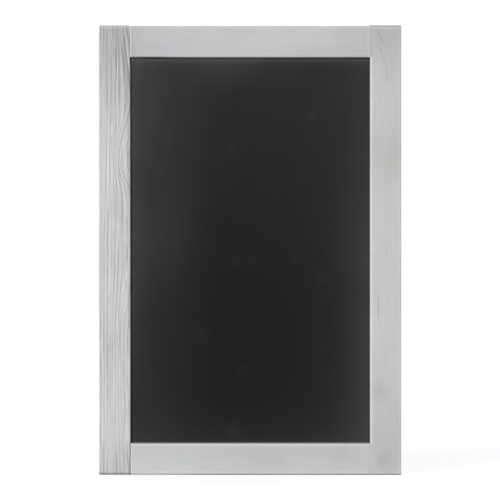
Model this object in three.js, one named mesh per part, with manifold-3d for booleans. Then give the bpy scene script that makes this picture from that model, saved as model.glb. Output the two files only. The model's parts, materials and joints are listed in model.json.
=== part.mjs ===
// A framed chalk menu board that hangs on a wall. Two stiles and two rails of whitewashed pine meet in
// butt joints at the front and lap behind the stiles' lips at the back, each corner on two fluted dowels.
// The rebate round the frame holds a coated steel writing sheet, a fibreboard core and a hardboard back,
// kept in by framer's points. Two strap hangers with D-rings carry the board, and two rubber bumpers at
// its foot keep it parallel to the wall.
//
// Millimetres. X is to the viewer's right, Z is up, the writing side faces -Y and the wall is the plane
// Y = 0. The origin lies on the wall, behind the middle of the board. Left and right are the viewer's.

import * as THREE from "three";
import { mergeVertices } from "three/addons/utils/BufferGeometryUtils.js";
import Module from "manifold-3d";

const wasm = await Module();
wasm.setup();

// The whole board
const boardWidth = 508;
const boardHeight = 756;
const wallGap = 6; // from the frame's back to the wall

// Frame members
const memberWidth = 53;
const memberThickness = 19;
const lipThickness = 5; // the wood left in front of the rebate
const rebateWidth = 8;
const frontArris = 2; // radius of the eased front edges
const backArris = 0.8;
const rightStileArris = 1.2; // the front edge at the closed right joints
const leftEndArris = 1.4; // a rail's front end at the left stile
const rightEndArris = 0.5; // a rail's front end at the right stile
const stileCornerRadius = 1.6; // a stile's corners, seen from the front
const topRailDrop = 1.2; // the stiles stand this much above the top rail
const jointGap = 0.2; // glue line between a rail and a stile

// Panels in the rebate, front to back
const sheetThickness = 0.5;
const sheetCornerRadius = 3;
const coreThickness = 5;
const backPanelThickness = 3;
const panelClearance = 1; // all round, for the wood to move
const filmGap = 0.1; // adhesive film, also under the hangers and bumpers

// Dowels
const dowelDiameter = 8;
const dowelLength = 40;
const dowelSpacing = 22;
const dowelChamfer = 1;
const fluteDepth = 0.4;
const dowelClearance = 0.2;
const dowelEndSpace = 1; // room for glue at the bottom of a hole

// Framer's points
const pointLength = 15;
const pointWidth = 6;
const pointThickness = 0.5;
const pointTipLength = 3;
const pointCornerRadius = 1;
const pointDrivenDepth = 5; // the length that is in the wood
const pointClearance = 0.3;

// Strap hangers
const hangerDrop = 120; // from the top of a stile to the ring's hinge
const strapWidth = 12;
const strapThickness = 1;
const strapLength = 38; // from the hinge to the strap's end
const strapCornerRadius = 4;
const strapSeam = 0.2; // between the strap's two layers
const upperScrewDrop = 19; // from the hinge to each screw
const lowerScrewDrop = 31;

// D-rings
const ringWireDiameter = 2.5;
const ringWidth = 17.5; // between the centres of the wire's two legs
const ringLegHeight = 4; // from the hinge to where the arc starts
const ringCornerRadius = 2;
const ringBarClearance = 0.3; // in the strap's loop
const ringSeatGap = 0.3; // between the leaning ring and the stile

// Hanger screws
const screwLength = 14;
const screwShankDiameter = 3;
const screwTipLength = 3;
const screwHeadDiameter = 6.4;
const screwHeadHeight = 1.9;
const screwHeadCrown = 0.8; // how much of the head's height is domed
const screwClearance = 0.3;

// Bumpers
const bumperDiameter = 11;
const bumperFaceDiameter = 6.5;
const bumperRimHeight = 2;

// Angles, counts and shares
const strapCloseAngle = THREE.MathUtils.degToRad(45); // how far the loop wraps past the ring's bar
const pointsPerStile = 4;
const pointsPerRail = 3;
const flutes = 10;
const fluteSteps = 4;
const arcSteps = 5;
const roundSides = 24;
const holeSides = 16;
const ringArcSteps = 14;
const ringSides = 10;
const strapLoopSteps = 14;
const overrun = 10; // how far a cutting tool runs past what it cuts

// Worked out from the sizes above
const rebateDepth = memberThickness - lipThickness;
const backFaceWidth = memberWidth - rebateWidth;
const frameBackY = -wallGap;
const frameFrontY = frameBackY - memberThickness;
const lipBackY = frameFrontY + lipThickness;
const frameMiddleY = frameBackY - memberThickness / 2;
const railTopZ = boardHeight / 2 - topRailDrop;
const railBottomZ = -boardHeight / 2;
const openingWidth = boardWidth - 2 * memberWidth;
const openingHeight = railTopZ - railBottomZ - 2 * memberWidth;
const openingMiddleZ = (railTopZ + railBottomZ) / 2;
const rebateWallX = openingWidth / 2 + rebateWidth;
const rebateWallHeight = openingHeight / 2 + rebateWidth; // above and below the opening's middle
const backFaceX = boardWidth / 2 - backFaceWidth / 2; // middle of a stile's back face
const sheetY = lipBackY + filmGap; // the front of each panel
const coreY = sheetY + sheetThickness + filmGap;
const backPanelY = coreY + coreThickness + filmGap;

const loopInnerRadius = ringWireDiameter / 2 + ringBarClearance;
const loopMiddleRadius = loopInnerRadius + strapThickness / 2;
const loopOuterRadius = loopInnerRadius + strapThickness;
const hingeY = frameBackY + filmGap + loopOuterRadius;
const hingeZ = boardHeight / 2 - hangerDrop;
const strapFaceY = 2 * strapThickness + strapSeam - loopOuterRadius; // the strap's outer face, from the hinge
const ringReach = ringLegHeight + ringWidth / 2; // from the hinge to the middle of the arc's wire
const ringLean = Math.asin(
  (loopOuterRadius + filmGap - ringWireDiameter / 2 - ringSeatGap) / ringReach,
);

const whitewashedPine = new THREE.MeshStandardMaterial({
  name: "whitewashed_pine",
  color: 0xc4c4c3,
  roughness: 0.72,
  metalness: 0,
});
const beechDowel = new THREE.MeshStandardMaterial({
  name: "beech_dowel",
  color: 0xc9a276,
  roughness: 0.7,
  metalness: 0,
});
const chalkCoating = new THREE.MeshStandardMaterial({
  name: "chalk_coating",
  color: 0x2b2b2b,
  roughness: 0.82,
  metalness: 0,
});
const fibreboard = new THREE.MeshStandardMaterial({
  name: "fibreboard",
  color: 0xa98c66,
  roughness: 0.9,
  metalness: 0,
});
const hardboard = new THREE.MeshStandardMaterial({
  name: "hardboard",
  color: 0x6f4d33,
  roughness: 0.75,
  metalness: 0,
});
const zincSteel = new THREE.MeshStandardMaterial({
  name: "zinc_steel",
  color: 0xb9bcbf,
  roughness: 0.35,
  metalness: 1,
});
const bumperRubber = new THREE.MeshStandardMaterial({
  name: "bumper_rubber",
  color: 0x2e2e2e,
  roughness: 0.85,
  metalness: 0,
});

const axisX = new THREE.Vector3(1, 0, 0);
const axisY = new THREE.Vector3(0, 1, 0);
const axisZ = new THREE.Vector3(0, 0, 1);

// Turns a shape drawn flat so that it is extruded along an axis. Along X its two coordinates are (Y, Z),
// along Y they are (Z, X) and along Z they are (X, Y).
const turnedTo = {
  X: new THREE.Matrix4().makeBasis(axisY, axisZ, axisX),
  Y: new THREE.Matrix4().makeBasis(axisZ, axisX, axisY),
  Z: new THREE.Matrix4(),
};

function extruded(shape, length, axis) {
  const geometry = new THREE.ExtrudeGeometry(shape, { depth: length, bevelEnabled: false });
  geometry.translate(0, 0, -length / 2);
  return geometry.applyMatrix4(turnedTo[axis]);
}

// A closed outline through corners [a, b, radius]. A corner with no radius stays sharp.
function roundedOutline(corners) {
  const points = [];
  corners.forEach(([a, b, radius = 0], i) => {
    const corner = new THREE.Vector2(a, b);
    if (radius <= 0) {
      points.push(corner);
      return;
    }
    const before = corners[(i + corners.length - 1) % corners.length];
    const after = corners[(i + 1) % corners.length];
    const back = new THREE.Vector2(before[0], before[1]).sub(corner).normalize();
    const on = new THREE.Vector2(after[0], after[1]).sub(corner).normalize();
    const halfAngle = Math.acos(back.dot(on)) / 2;
    const centre = back.clone().add(on).setLength(radius / Math.sin(halfAngle)).add(corner);
    const start = back.multiplyScalar(radius / Math.tan(halfAngle)).add(corner).sub(centre);
    const end = on.multiplyScalar(radius / Math.tan(halfAngle)).add(corner).sub(centre);
    const turn = Math.atan2(start.cross(end), start.dot(end));
    for (let step = 0; step <= arcSteps; step++) {
      const spoke = start.clone().rotateAround(new THREE.Vector2(), (turn * step) / arcSteps);
      points.push(spoke.add(centre));
    }
  });
  return new THREE.Shape(points);
}

function solidOf(geometry) {
  const bare = geometry.clone();
  bare.deleteAttribute("normal");
  bare.deleteAttribute("uv");
  const merged = mergeVertices(bare);
  return new wasm.Manifold(
    new wasm.Mesh({
      numProp: 3,
      vertProperties: merged.attributes.position.array,
      triVerts: new Uint32Array(merged.index.array),
    }),
  );
}

function geometryOf(solid) {
  const mesh = solid.getMesh();
  const geometry = new THREE.BufferGeometry();
  geometry.setAttribute("position", new THREE.BufferAttribute(mesh.vertProperties, mesh.numProp));
  geometry.setIndex(new THREE.BufferAttribute(mesh.triVerts, 1));
  const faceted = geometry.toNonIndexed();
  faceted.computeVertexNormals();
  return faceted;
}

function cut(solid, tools) {
  return tools.reduce((left, tool) => left.subtract(solidOf(tool)), solid);
}

// What several prisms have in common, such as a piece drawn from the end, the side and the front
function common(geometries) {
  return geometries.map(solidOf).reduce((shared, solid) => shared.intersect(solid));
}

function named(name, geometry, material) {
  const mesh = new THREE.Mesh(geometry, material);
  mesh.name = name;
  return mesh;
}

// A node whose solid was worked out in the board's own frame: it turns and moves about its own middle.
function placedNode(name, solid, material, middle) {
  const mesh = named(name, geometryOf(solid).translate(-middle.x, -middle.y, -middle.z), material);
  mesh.position.copy(middle);
  return mesh;
}

function roundTool(diameter, length, axis, middle) {
  const tool = new THREE.CylinderGeometry(diameter / 2, diameter / 2, length, holeSides);
  if (axis === "X") tool.rotateZ(Math.PI / 2);
  return tool.translate(middle.x, middle.y, middle.z);
}

// Where the pieces that reach into the frame members sit

const dowelSeats = [];
for (const [side, sideSign] of [["left", -1], ["right", 1]]) {
  for (const [end, endSign, edgeZ] of [["top", 1, railTopZ], ["bottom", -1, railBottomZ]]) {
    for (const [place, spacingSign] of [["outer", 1], ["inner", -1]]) {
      const fromEdge = (backFaceWidth - spacingSign * dowelSpacing) / 2;
      dowelSeats.push({
        name: `${end}_${side}_${place}_dowel`,
        side,
        end,
        middle: new THREE.Vector3(
          sideSign * (rebateWallX - jointGap / 2),
          frameBackY - rebateDepth / 2,
          edgeZ - endSign * fromEdge,
        ),
      });
    }
  }
}

// A point's own origin is on the rebate's wall, and it reaches from there along +X over the back panel.
const pointSeats = [];
const pointY = backPanelY + backPanelThickness + filmGap + pointThickness / 2;
for (const [side, turn, count] of [
  ["left", 0, pointsPerStile],
  ["right", Math.PI, pointsPerStile],
  ["top", Math.PI / 2, pointsPerRail],
  ["bottom", -Math.PI / 2, pointsPerRail],
]) {
  const upright = side === "left" || side === "right";
  const run = 2 * (upright ? rebateWallHeight : rebateWallX);
  for (let i = 0; i < count; i++) {
    const along = run / 2 - (run * (i + 1 / 2)) / count;
    const seat = {
      left: new THREE.Vector3(-rebateWallX, pointY, openingMiddleZ + along),
      right: new THREE.Vector3(rebateWallX, pointY, openingMiddleZ + along),
      top: new THREE.Vector3(-along, pointY, openingMiddleZ + rebateWallHeight),
      bottom: new THREE.Vector3(-along, pointY, openingMiddleZ - rebateWallHeight),
    }[side];
    pointSeats.push({ name: `${side}_point_${i + 1}`, side, turn, seat });
  }
}

const screwDrops = [["upper", upperScrewDrop], ["lower", lowerScrewDrop]];

// Tools that cut the seats

function dowelHole({ middle }) {
  return roundTool(dowelDiameter + 2 * dowelClearance, dowelLength + 2 * dowelEndSpace, "X", middle);
}

function pointSlot({ turn, seat }) {
  const slot = new THREE.BoxGeometry(
    pointLength + 2 * pointClearance,
    pointThickness + 2 * pointClearance,
    pointWidth + 2 * pointClearance,
  );
  slot.translate(pointLength / 2 - pointDrivenDepth, 0, 0).rotateY(turn);
  return slot.translate(seat.x, seat.y, seat.z);
}

function pilotHole(sideSign, drop) {
  const depth = screwLength - strapFaceY - loopOuterRadius - filmGap + screwClearance;
  const middle = new THREE.Vector3(
    sideSign * backFaceX,
    frameBackY + overrun / 2 - depth / 2,
    hingeZ - drop,
  );
  return roundTool(screwShankDiameter + 2 * screwClearance, depth + overrun, "Y", middle);
}

// Frame members

// The section of a member as corners (across, through, radius). Across runs over the member's width with
// the outer edge on the side of outward, and through is Y. The rebate is at the inner edge's back.
function memberSection(outward, innerArris) {
  const outer = (outward * memberWidth) / 2;
  const rebateWall = outward * (memberWidth / 2 - backFaceWidth);
  return [
    [outer, frameBackY, backArris],
    [outer, frameFrontY, frontArris],
    [-outer, frameFrontY, innerArris],
    [-outer, lipBackY],
    [rebateWall, lipBackY],
    [rebateWall, frameBackY, backArris],
  ];
}

function stile(side) {
  const outward = side === "left" ? -1 : 1;
  const middleX = (outward * (boardWidth - memberWidth)) / 2;
  const section = memberSection(outward, side === "left" ? frontArris : rightStileArris);
  // The ends are eased like the long edges, and the corners are rounded.
  const fromTheSide = roundedOutline([
    [frameFrontY, -boardHeight / 2, frontArris],
    [frameBackY, -boardHeight / 2, backArris],
    [frameBackY, boardHeight / 2, backArris],
    [frameFrontY, boardHeight / 2, frontArris],
  ]);
  const fromTheFront = roundedOutline([
    [-boardHeight / 2, -memberWidth / 2, stileCornerRadius],
    [boardHeight / 2, -memberWidth / 2, stileCornerRadius],
    [boardHeight / 2, memberWidth / 2, stileCornerRadius],
    [-boardHeight / 2, memberWidth / 2, stileCornerRadius],
  ]);
  const eased = common([
    extruded(roundedOutline(section), boardHeight, "Z").translate(middleX, 0, 0),
    extruded(fromTheSide, memberWidth + overrun, "X").translate(middleX, 0, 0),
    extruded(fromTheFront, memberThickness + overrun, "Y").translate(middleX, frameMiddleY, 0),
  ]);
  const solid = cut(eased, [
    ...dowelSeats.filter((seat) => seat.side === side).map(dowelHole),
    ...pointSeats.filter((seat) => seat.side === side).map(pointSlot),
    ...screwDrops.map(([, drop]) => pilotHole(outward, drop)),
  ]);
  return placedNode(`${side}_stile`, solid, whitewashedPine, new THREE.Vector3(middleX, frameMiddleY, 0));
}

// A rail is shorter at its front, where it butts against the stiles' lips, than at its back, where its
// tongues lap behind them and reach the walls of the stiles' rebates.
function rail(end) {
  const outward = end === "top" ? 1 : -1;
  const middleZ = (end === "top" ? railTopZ : railBottomZ) - (outward * memberWidth) / 2;
  const section = memberSection(outward, frontArris).map(([across, through, radius]) => {
    return [through, across, radius];
  });
  const frontHalf = openingWidth / 2 - jointGap;
  const backHalf = rebateWallX - jointGap;
  const plan = roundedOutline([
    [-frontHalf, frameFrontY, leftEndArris],
    [frontHalf, frameFrontY, rightEndArris],
    [frontHalf, lipBackY + jointGap],
    [backHalf, lipBackY + jointGap],
    [backHalf, frameBackY],
    [-backHalf, frameBackY],
    [-backHalf, lipBackY + jointGap],
    [-frontHalf, lipBackY + jointGap],
  ]);
  const shouldered = common([
    extruded(roundedOutline(section), 2 * backHalf, "X").translate(0, 0, middleZ),
    extruded(plan, memberWidth + overrun, "Z").translate(0, 0, middleZ),
  ]);
  const solid = cut(shouldered, [
    ...dowelSeats.filter((seat) => seat.end === end).map(dowelHole),
    ...pointSeats.filter((seat) => seat.side === end).map(pointSlot),
  ]);
  return placedNode(`${end}_rail`, solid, whitewashedPine, new THREE.Vector3(0, frameMiddleY, middleZ));
}

function dowelGeometry() {
  const radius = dowelDiameter / 2;
  const fluted = [];
  for (let i = 0; i < flutes * fluteSteps; i++) {
    const angle = (2 * Math.PI * i) / (flutes * fluteSteps);
    const dip = (fluteDepth * (1 - Math.cos(angle * flutes))) / 2;
    fluted.push(new THREE.Vector2(Math.cos(angle), Math.sin(angle)).multiplyScalar(radius - dip));
  }
  const chamfered = new THREE.LatheGeometry(
    [
      new THREE.Vector2(0, -dowelLength / 2),
      new THREE.Vector2(radius - dowelChamfer, -dowelLength / 2),
      new THREE.Vector2(radius, dowelChamfer - dowelLength / 2),
      new THREE.Vector2(radius, dowelLength / 2 - dowelChamfer),
      new THREE.Vector2(radius - dowelChamfer, dowelLength / 2),
      new THREE.Vector2(0, dowelLength / 2),
    ],
    roundSides,
  ).rotateZ(-Math.PI / 2);
  const bar = extruded(new THREE.Shape(fluted), dowelLength, "X");
  return geometryOf(common([bar, chamfered]));
}

function dowel({ name, middle }) {
  const mesh = named(name, dowelGeometry(), beechDowel);
  mesh.position.copy(middle);
  return mesh;
}

// Panels and their points

function panel(name, thickness, frontY, material, cornerRadius) {
  const halfHeight = rebateWallHeight - panelClearance;
  const halfWidth = rebateWallX - panelClearance;
  const outline = roundedOutline([
    [-halfHeight, -halfWidth, cornerRadius],
    [halfHeight, -halfWidth, cornerRadius],
    [halfHeight, halfWidth, cornerRadius],
    [-halfHeight, halfWidth, cornerRadius],
  ]);
  const mesh = named(name, extruded(outline, thickness, "Y"), material);
  mesh.position.set(0, frontY + thickness / 2, openingMiddleZ);
  return mesh;
}

function framersPoint({ name, turn, seat }) {
  const half = pointWidth / 2;
  const outline = roundedOutline([
    [-half, pointTipLength - pointDrivenDepth],
    [0, -pointDrivenDepth],
    [half, pointTipLength - pointDrivenDepth],
    [half, pointLength - pointDrivenDepth, pointCornerRadius],
    [-half, pointLength - pointDrivenDepth, pointCornerRadius],
  ]);
  const mesh = named(name, extruded(outline, pointThickness, "Y"), zincSteel);
  mesh.rotation.y = turn;
  mesh.position.copy(seat);
  return mesh;
}

// Hangers. Each has its own group with its origin on the ring's hinge.

// The outline of a folded strip: its middle line, offset by half its thickness to both sides.
function stripOutline(middleLine, thickness) {
  const left = [];
  const right = [];
  middleLine.forEach((point, i) => {
    const before = middleLine[Math.max(i - 1, 0)];
    const after = middleLine[Math.min(i + 1, middleLine.length - 1)];
    const into = i > 0 ? point.clone().sub(before).normalize() : after.clone().sub(point).normalize();
    const out = i < middleLine.length - 1 ? after.clone().sub(point).normalize() : into.clone();
    const normal = new THREE.Vector2(-into.y - out.y, into.x + out.x).normalize();
    const reach = thickness / 2 / normal.dot(new THREE.Vector2(-into.y, into.x));
    left.push(point.clone().addScaledVector(normal, reach));
    right.push(point.clone().addScaledVector(normal, -reach));
  });
  return new THREE.Shape([...left, ...right.reverse()]);
}

// The strip lies on the stile, wraps over the ring's bar and comes back down on itself. Outline in (Y, Z).
function strapGeometry() {
  const line = [new THREE.Vector2(-loopMiddleRadius, -strapLength)];
  const wrap = Math.PI + strapCloseAngle;
  for (let i = 0; i <= strapLoopSteps; i++) {
    const angle = (wrap * i) / strapLoopSteps;
    line.push(new THREE.Vector2(-Math.cos(angle), Math.sin(angle)).multiplyScalar(loopMiddleRadius));
  }
  const leaving = line[line.length - 1];
  const upperLayerY = strapThickness + strapSeam - loopMiddleRadius;
  const fall = (leaving.x - upperLayerY) / Math.tan(strapCloseAngle);
  line.push(new THREE.Vector2(upperLayerY, leaving.y - fall), new THREE.Vector2(upperLayerY, -strapLength));
  const folded = extruded(stripOutline(line, strapThickness), strapWidth, "X");
  // Seen from behind, the strap has a rounded end. Outline in (Z, X).
  const top = loopOuterRadius + overrun;
  const face = roundedOutline([
    [top, strapWidth],
    [top, -strapWidth],
    [0, -strapWidth],
    [0, -strapWidth / 2],
    [-strapLength, -strapWidth / 2, strapCornerRadius],
    [-strapLength, strapWidth / 2, strapCornerRadius],
    [0, strapWidth / 2],
    [0, strapWidth],
  ]);
  const trimmed = common([folded, extruded(face, 2 * loopOuterRadius + overrun, "Y")]);
  const holes = screwDrops.map(([, drop]) =>
    roundTool(
      screwShankDiameter + 2 * screwClearance,
      2 * loopOuterRadius + overrun,
      "Y",
      new THREE.Vector3(0, 0, -drop),
    ),
  );
  return geometryOf(cut(trimmed, holes));
}

// The middle line of the ring's wire in (X, Z): a straight bar in the strap's loop, two legs and an arc.
function ringLine() {
  const half = ringWidth / 2;
  const points = [];
  for (const [sideSign, fromAngle] of [[-1, Math.PI], [1, 1.5 * Math.PI]]) {
    const corner = new THREE.Vector2(sideSign * (half - ringCornerRadius), ringCornerRadius);
    for (let i = 0; i <= arcSteps; i++) {
      const angle = fromAngle + ((Math.PI / 2) * i) / arcSteps;
      const spoke = new THREE.Vector2(Math.cos(angle), Math.sin(angle));
      points.push(spoke.multiplyScalar(ringCornerRadius).add(corner));
    }
  }
  for (let i = 0; i <= ringArcSteps; i++) {
    const angle = (Math.PI * i) / ringArcSteps;
    points.push(new THREE.Vector2(half * Math.cos(angle), ringLegHeight + half * Math.sin(angle)));
  }
  return points;
}

// A round wire bent along a closed flat line in the XZ plane.
function closedWire(line, diameter, sides) {
  const positions = [];
  const triangles = [];
  line.forEach((point, i) => {
    const before = line[(i + line.length - 1) % line.length];
    const after = line[(i + 1) % line.length];
    const along = after.clone().sub(before).normalize();
    for (let j = 0; j < sides; j++) {
      const angle = (2 * Math.PI * j) / sides;
      const outward = (Math.cos(angle) * diameter) / 2;
      positions.push(
        point.x + along.y * outward,
        (Math.sin(angle) * diameter) / 2,
        point.y - along.x * outward,
      );
      const next = (i + 1) % line.length;
      const [a, b] = [i * sides + j, i * sides + ((j + 1) % sides)];
      const [c, d] = [next * sides + j, next * sides + ((j + 1) % sides)];
      triangles.push(a, b, d, a, d, c);
    }
  });
  const geometry = new THREE.BufferGeometry();
  geometry.setAttribute("position", new THREE.Float32BufferAttribute(positions, 3));
  geometry.setIndex(triangles);
  const faceted = geometry.toNonIndexed();
  faceted.computeVertexNormals();
  return faceted;
}

function screwGeometry() {
  const head = screwHeadDiameter / 2;
  const shank = screwShankDiameter / 2;
  const profile = [
    new THREE.Vector2(0, -screwLength),
    new THREE.Vector2(shank, screwTipLength - screwLength),
    new THREE.Vector2(shank, 0),
    new THREE.Vector2(head, 0),
  ];
  for (let i = 0; i <= arcSteps; i++) {
    const angle = ((Math.PI / 2) * i) / arcSteps;
    profile.push(
      new THREE.Vector2(
        i === arcSteps ? 0 : head * Math.cos(angle),
        screwHeadHeight - screwHeadCrown + screwHeadCrown * Math.sin(angle),
      ),
    );
  }
  return new THREE.LatheGeometry(profile, roundSides);
}

function hanger(side) {
  const sideSign = side === "left" ? -1 : 1;
  const group = new THREE.Group();
  group.position.set(sideSign * backFaceX, hingeY, hingeZ);
  group.add(named(`${side}_hanger_strap`, strapGeometry(), zincSteel));
  const ring = named(`${side}_d_ring`, closedWire(ringLine(), ringWireDiameter, ringSides), zincSteel);
  ring.rotation.x = ringLean;
  group.add(ring);
  for (const [place, drop] of screwDrops) {
    const screw = named(`${side}_${place}_screw`, screwGeometry(), zincSteel);
    screw.position.set(0, strapFaceY + filmGap, -drop);
    group.add(screw);
  }
  return group;
}

function bumper(side) {
  const height = wallGap - filmGap;
  const profile = [
    new THREE.Vector2(0, 0),
    new THREE.Vector2(bumperDiameter / 2, 0),
    new THREE.Vector2(bumperDiameter / 2, bumperRimHeight),
  ];
  // A quarter of an ellipse from the rim to the flat face that meets the wall
  const shoulder = (bumperDiameter - bumperFaceDiameter) / 2;
  for (let i = 1; i <= arcSteps; i++) {
    const angle = ((Math.PI / 2) * i) / arcSteps;
    profile.push(
      new THREE.Vector2(
        bumperFaceDiameter / 2 + shoulder * Math.cos(angle),
        bumperRimHeight + (height - bumperRimHeight) * Math.sin(angle),
      ),
    );
  }
  profile.push(new THREE.Vector2(0, height));
  const mesh = named(`${side}_bumper`, new THREE.LatheGeometry(profile, roundSides), bumperRubber);
  mesh.position.set(
    (side === "left" ? -1 : 1) * backFaceX,
    frameBackY + filmGap,
    railBottomZ + backFaceWidth / 2,
  );
  return mesh;
}

// The board

const frame = new THREE.Group();
frame.add(stile("left"), stile("right"), rail("top"), rail("bottom"), ...dowelSeats.map(dowel));

const filling = new THREE.Group();
filling.add(
  panel("writing_sheet", sheetThickness, sheetY, chalkCoating, sheetCornerRadius),
  panel("core_board", coreThickness, coreY, fibreboard, 0),
  panel("back_panel", backPanelThickness, backPanelY, hardboard, 0),
  ...pointSeats.map(framersPoint),
);

const menuBoard = new THREE.Group();
menuBoard.name = "menu_board";
menuBoard.add(frame, filling, hanger("left"), hanger("right"), bumper("left"), bumper("right"));

export default menuBoard;
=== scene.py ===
import json
from math import atan2, cos, pi, radians, sin, tan
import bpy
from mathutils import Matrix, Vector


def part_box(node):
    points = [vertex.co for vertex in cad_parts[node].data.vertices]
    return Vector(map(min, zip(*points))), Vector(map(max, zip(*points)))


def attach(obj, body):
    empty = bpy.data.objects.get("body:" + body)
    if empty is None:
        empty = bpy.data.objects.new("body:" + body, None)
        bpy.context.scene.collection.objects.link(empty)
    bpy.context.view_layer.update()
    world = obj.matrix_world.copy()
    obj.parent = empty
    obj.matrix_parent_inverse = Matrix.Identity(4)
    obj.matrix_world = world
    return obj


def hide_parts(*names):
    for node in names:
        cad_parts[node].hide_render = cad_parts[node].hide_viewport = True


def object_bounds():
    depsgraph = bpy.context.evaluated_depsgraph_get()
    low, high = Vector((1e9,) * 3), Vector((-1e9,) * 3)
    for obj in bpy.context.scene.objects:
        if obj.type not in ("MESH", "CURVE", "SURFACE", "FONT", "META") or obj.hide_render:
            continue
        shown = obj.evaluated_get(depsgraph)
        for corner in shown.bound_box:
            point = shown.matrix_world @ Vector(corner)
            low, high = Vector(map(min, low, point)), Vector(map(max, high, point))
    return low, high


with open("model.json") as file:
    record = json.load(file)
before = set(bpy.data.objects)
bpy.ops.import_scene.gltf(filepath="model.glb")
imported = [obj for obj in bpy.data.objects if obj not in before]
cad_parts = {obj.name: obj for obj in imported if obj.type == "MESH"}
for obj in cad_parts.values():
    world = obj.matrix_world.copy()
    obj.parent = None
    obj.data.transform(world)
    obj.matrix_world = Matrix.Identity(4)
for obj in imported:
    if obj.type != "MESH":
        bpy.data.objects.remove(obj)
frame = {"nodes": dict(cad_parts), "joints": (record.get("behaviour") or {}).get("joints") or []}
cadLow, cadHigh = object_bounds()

from types import SimpleNamespace

import bmesh
import bpy
import numpy as np
from mathutils import Vector, noise

print("frame loaded:", len(frame["nodes"]), "nodes")


# Camera: the photograph looks straight at the middle of the board

photoView = {
    "width": 500,  # pixels
    "boardMiddle": (250.2, 250.1),  # the pixel that shows the board's middle
    "metresPerPixel": 0.0016805,  # on the frame's front
    "lens": 250,
    "sensor": 36,
}


def addCamera():
    scale, middle = photoView["metresPerPixel"], photoView["width"] / 2
    boardX, boardZ = photoView["boardMiddle"]
    distance = photoView["lens"] / photoView["sensor"] * photoView["width"] * scale
    data = bpy.data.cameras.new("camera")
    data.lens = photoView["lens"]
    data.sensor_width = photoView["sensor"]
    camera = bpy.data.objects.new("camera", data)
    camera.location = ((middle - boardX) * scale, cadLow.y - distance, (boardZ - middle) * scale)
    camera.rotation_euler = (radians(90), 0, 0)
    bpy.context.scene.collection.objects.link(camera)
    bpy.context.scene.camera = camera


addCamera()
bpy.context.scene.view_settings.view_transform = "Standard"


# Shader helpers

class Wire:
    # A socket's value, so that a shader's sums read as plain arithmetic
    def __init__(self, socket):
        self.socket = socket
        self.tree = socket.id_data

    def __add__(self, other):
        return calc("ADD", self, other)

    def __sub__(self, other):
        return calc("SUBTRACT", self, other)

    def __rsub__(self, other):
        return calc("SUBTRACT", other, self)

    def __mul__(self, other):
        return calc("MULTIPLY", self, other)

    def __truediv__(self, other):
        return calc("DIVIDE", self, other)

    def __rtruediv__(self, other):
        return calc("DIVIDE", other, self)


def feed(node, inputs):
    # Joins each of the node's inputs to a wire, or sets it to a fixed value
    for key, value in inputs.items():
        if isinstance(value, Wire):
            value.tree.links.new(value.socket, node.inputs[key])
        else:
            node.inputs[key].default_value = value


def addNode(kind, inputs, output=0, tree=None, **settings):
    # Adds a node to the tree, or to that of the wires that feed it, and gives the wire of one output
    tree = tree or next(value.tree for value in inputs.values() if isinstance(value, Wire))
    node = tree.nodes.new("ShaderNode" + kind)
    for key, value in settings.items():
        setattr(node, key, value)
    feed(node, inputs)
    return Wire(node.outputs[output])


def calc(operation, *values, clamp=False):
    return addNode("Math", dict(enumerate(values)), operation=operation, use_clamp=clamp)


def vectorCalc(operation, *values, output=0):
    return addNode("VectorMath", dict(enumerate(values)), output, operation=operation)


def vectorOf(x, y, z):
    return addNode("CombineXYZ", {"X": x, "Y": y, "Z": z})


def split(vector):
    # The vector's three parts
    node = vector.tree.nodes.new("ShaderNodeSeparateXYZ")
    feed(node, {0: vector})
    return [Wire(socket) for socket in node.outputs]


def ramp(value, low, high, toLow=0.0, toHigh=1.0, smooth=True):
    inputs = {"Value": value, "From Min": low, "From Max": high, "To Min": toLow, "To Max": toHigh}
    return addNode("MapRange", inputs, interpolation_type="SMOOTHSTEP" if smooth else "LINEAR")


def noiseValue(place, scale, detail, roughness):
    return addNode("TexNoise", {"Vector": place, "Scale": scale, "Detail": detail, "Roughness": roughness})


def mixColour(factor, first, second, blend="MIX"):
    # The colour sockets of a mixer that has others for numbers and vectors
    return addNode("Mix", {0: factor, 6: first, 7: second}, 2, data_type="RGBA", blend_type=blend)


def attribute(tree, name, output="Fac"):
    return addNode("Attribute", {}, output, tree, attribute_name=name)


def objectPlace(tree):
    return addNode("TexCoord", {}, "Object", tree)


def bump(height, strength, distance):
    return addNode("Bump", {"Height": height, "Strength": strength, "Distance": distance})


def startMaterial(name):
    material = bpy.data.materials.new(name)
    material.use_nodes = True
    return material, material.node_tree


def finishMaterial(material, inputs):
    feed(material.node_tree.nodes["Principled BSDF"], inputs)
    return material


def nodeGroup(*numbers):
    # Turns a function that works values out of a place and these numbers into a node group and its user
    def build(effect):
        group = bpy.data.node_groups.new(effect.__name__, "ShaderNodeTree")
        group.interface.new_socket("place", in_out="INPUT", socket_type="NodeSocketVector")
        for name in numbers:
            group.interface.new_socket(name, in_out="INPUT", socket_type="NodeSocketFloat")
        given = group.nodes.new("NodeGroupInput").outputs
        values = effect(*(Wire(given[name]) for name in ("place", *numbers)))
        for name in values:
            group.interface.new_socket(name, in_out="OUTPUT", socket_type="NodeSocketFloat")
        feed(group.nodes.new("NodeGroupOutput"), values)

        def use(place, **inputs):
            node = place.tree.nodes.new("ShaderNodeGroup")
            node.node_tree = group
            feed(node, {"place": place, **inputs})
            return SimpleNamespace(**{socket.name: Wire(socket) for socket in node.outputs})

        return use

    return build


# Shared effects

def counted(place, width, length):
    # The place in widths across and lengths along the third axis
    return vectorCalc("MULTIPLY", place, vectorOf(1 / width, 1 / width, 1 / length))


@nodeGroup("patchSize", "stretch")
def softPatches(place, patchSize, stretch):
    # Uneven patches, from -1 to 1, drawn out along the third axis
    patches = noiseValue(counted(place, patchSize, patchSize * stretch), 1, 3, 0.55)
    return {"value": ramp(patches, 0.25, 0.75, -1, 1, False)}


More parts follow.
